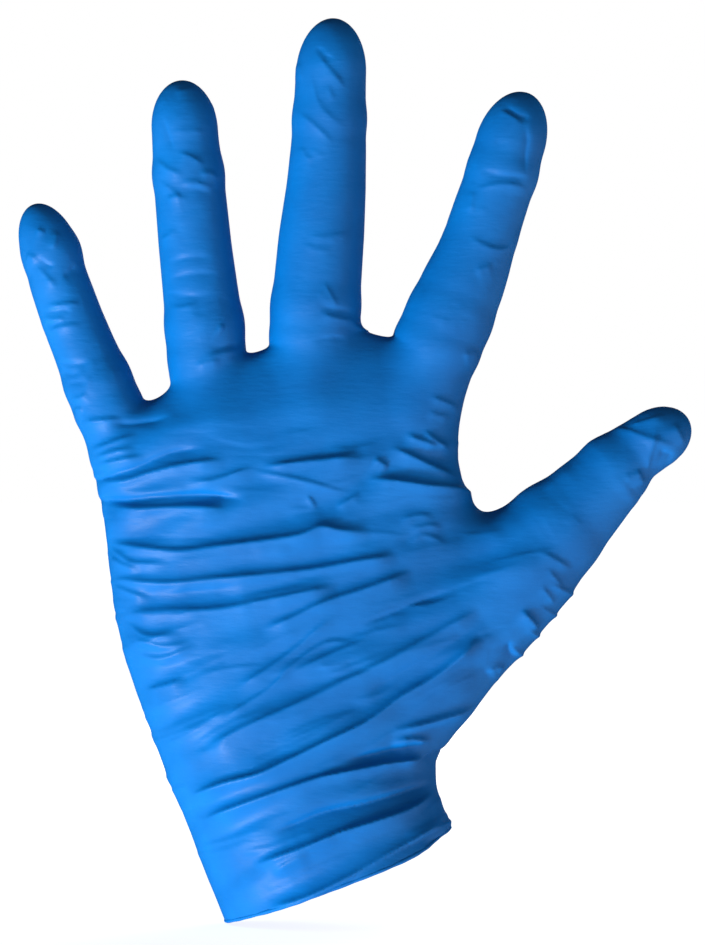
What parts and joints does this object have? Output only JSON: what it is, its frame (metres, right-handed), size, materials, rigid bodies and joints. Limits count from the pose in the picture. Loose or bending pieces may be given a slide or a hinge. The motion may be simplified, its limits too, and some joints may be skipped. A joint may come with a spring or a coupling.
{
  "type": "disposable glove",
  "caption": "Thin dipped nitrile glove as worn on a left hand, with a rolled bead at the cuff and film that folds at the wrist, the fingers and the thumb.",
  "frame": {"origin": "centre of the hand opening, in the plane of its rolled rim", "axes": "+Z along the fingers, +X towards the thumb, -Y out of the back of the hand, +Y out of the palm"},
  "size_m": [0.1696, 0.045, 0.2267],
  "materials": {
    "nitrile": "satin"
  },
  "bodies": {
    "cuff": {"rim_bead": "nitrile", "cuff": "nitrile"},
    "hand": {"wrist_fold": "nitrile", "hand": "nitrile", "little_root_fold": "nitrile", "ring_root_fold": "nitrile", "middle_root_fold": "nitrile", "index_root_fold": "nitrile", "thumb_root_fold": "nitrile"},
    "little_base": {"little_base": "nitrile", "little_knuckle_fold": "nitrile"},
    "little_shaft": {"little_shaft": "nitrile", "little_end_fold": "nitrile"},
    "little_tip": {"little_tip": "nitrile"},
    "ring_base": {"ring_base": "nitrile", "ring_knuckle_fold": "nitrile"},
    "ring_shaft": {"ring_shaft": "nitrile", "ring_end_fold": "nitrile"},
    "ring_tip": {"ring_tip": "nitrile"},
    "middle_base": {"middle_base": "nitrile", "middle_knuckle_fold": "nitrile"},
    "middle_shaft": {"middle_shaft": "nitrile", "middle_end_fold": "nitrile"},
    "middle_tip": {"middle_tip": "nitrile"},
    "index_base": {"index_base": "nitrile", "index_knuckle_fold": "nitrile"},
    "index_shaft": {"index_shaft": "nitrile", "index_end_fold": "nitrile"},
    "index_tip": {"index_tip": "nitrile"},
    "thumb_base": {"thumb_base": "nitrile", "thumb_end_fold": "nitrile"},
    "thumb_tip": {"thumb_tip": "nitrile"}
  },
  "joints": [
    {"name": "wrist_bend", "type": "hinge", "parent": "cuff", "child": "hand", "pos_m": [-0.008, 0, 0.025], "axis": [-0.9781, 0, -0.2079], "range_deg": [-45, 45], "deforming": ["wrist_fold"]},
    {"name": "little_root_curl", "type": "hinge", "parent": "hand", "child": "little_base", "pos_m": [-0.059, 0.00148, 0.1235], "axis": [-0.9367, 0, -0.3502], "range_deg": [-10, 70], "deforming": ["little_root_fold"]},
    {"name": "little_knuckle_curl", "type": "hinge", "parent": "little_base", "child": "little_shaft", "pos_m": [-0.06583, 0.00136, 0.14177], "axis": [-0.9367, 0, -0.3502], "range_deg": [0, 82], "deforming": ["little_knuckle_fold"]},
    {"name": "little_end_curl", "type": "hinge", "parent": "little_shaft", "child": "little_tip", "pos_m": [-0.07073, 0.0013, 0.15488], "axis": [-0.9367, 0, -0.3502], "range_deg": [0, 52], "deforming": ["little_end_fold"]},
    {"name": "ring_root_curl", "type": "hinge", "parent": "hand", "child": "ring_base", "pos_m": [-0.0329, 0.00176, 0.1372], "axis": [-0.9962, 0, -0.0872], "range_deg": [-10, 70], "deforming": ["ring_root_fold"]},
    {"name": "ring_knuckle_curl", "type": "hinge", "parent": "ring_base", "child": "ring_shaft", "pos_m": [-0.0345, 0.00163, 0.15553], "axis": [-0.9962, 0, -0.0872], "range_deg": [0, 82], "deforming": ["ring_knuckle_fold"]},
    {"name": "ring_end_curl", "type": "hinge", "parent": "ring_shaft", "child": "ring_tip", "pos_m": [-0.0362, 0.00157, 0.17496], "axis": [-0.9962, 0, -0.0872], "range_deg": [0, 52], "deforming": ["ring_end_fold"]},
    {"name": "middle_root_curl", "type": "hinge", "parent": "hand", "child": "middle_base", "pos_m": [-0.0049, 0.00194, 0.142], "axis": [-0.9982, 0, 0.0593], "range_deg": [-10, 70], "deforming": ["middle_root_fold"]},
    {"name": "middle_knuckle_curl", "type": "hinge", "parent": "middle_base", "child": "middle_shaft", "pos_m": [-0.00377, 0.00187, 0.16097], "axis": [-0.9982, 0, 0.0593], "range_deg": [0, 82], "deforming": ["middle_knuckle_fold"]},
    {"name": "middle_end_curl", "type": "hinge", "parent": "middle_shaft", "child": "middle_tip", "pos_m": [-0.00211, 0.00157, 0.18892], "axis": [-0.9982, 0, 0.0593], "range_deg": [0, 52], "deforming": ["middle_end_fold"]},
    {"name": "index_root_curl", "type": "hinge", "parent": "hand", "child": "index_base", "pos_m": [0.0279, 0.00187, 0.1397], "axis": [-0.9478, 0, 0.319], "range_deg": [-10, 70], "deforming": ["index_root_fold"]},
    {"name": "index_knuckle_curl", "type": "hinge", "parent": "index_base", "child": "index_shaft", "pos_m": [0.03441, 0.00165, 0.15903], "axis": [-0.9478, 0, 0.319], "range_deg": [0, 82], "deforming": ["index_knuckle_fold"]},
    {"name": "index_end_curl", "type": "hinge", "parent": "index_shaft", "child": "index_tip", "pos_m": [0.04015, 0.00154, 0.17609], "axis": [-0.9478, 0, 0.319], "range_deg": [0, 52], "deforming": ["index_end_fold"]},
    {"name": "thumb_root_curl", "type": "hinge", "parent": "hand", "child": "thumb_base", "pos_m": [0.05379, 0.00439, 0.08663], "axis": [-0.4701, -0.766, 0.4384], "range_deg": [-10, 45], "deforming": ["thumb_root_fold"]},
    {"name": "thumb_end_curl", "type": "hinge", "parent": "thumb_base", "child": "thumb_tip", "pos_m": [0.06855, 0.00401, 0.10178], "axis": [-0.411, -0.766, 0.4942], "range_deg": [-10, 60], "deforming": ["thumb_end_fold"]}
  ],
  "couplings": [
    {"joint": "little_end_curl", "follows": "little_knuckle_curl", "ratio": 0.634},
    {"joint": "ring_end_curl", "follows": "ring_knuckle_curl", "ratio": 0.634},
    {"joint": "middle_end_curl", "follows": "middle_knuckle_curl", "ratio": 0.634},
    {"joint": "index_end_curl", "follows": "index_knuckle_curl", "ratio": 0.634}
  ]
}
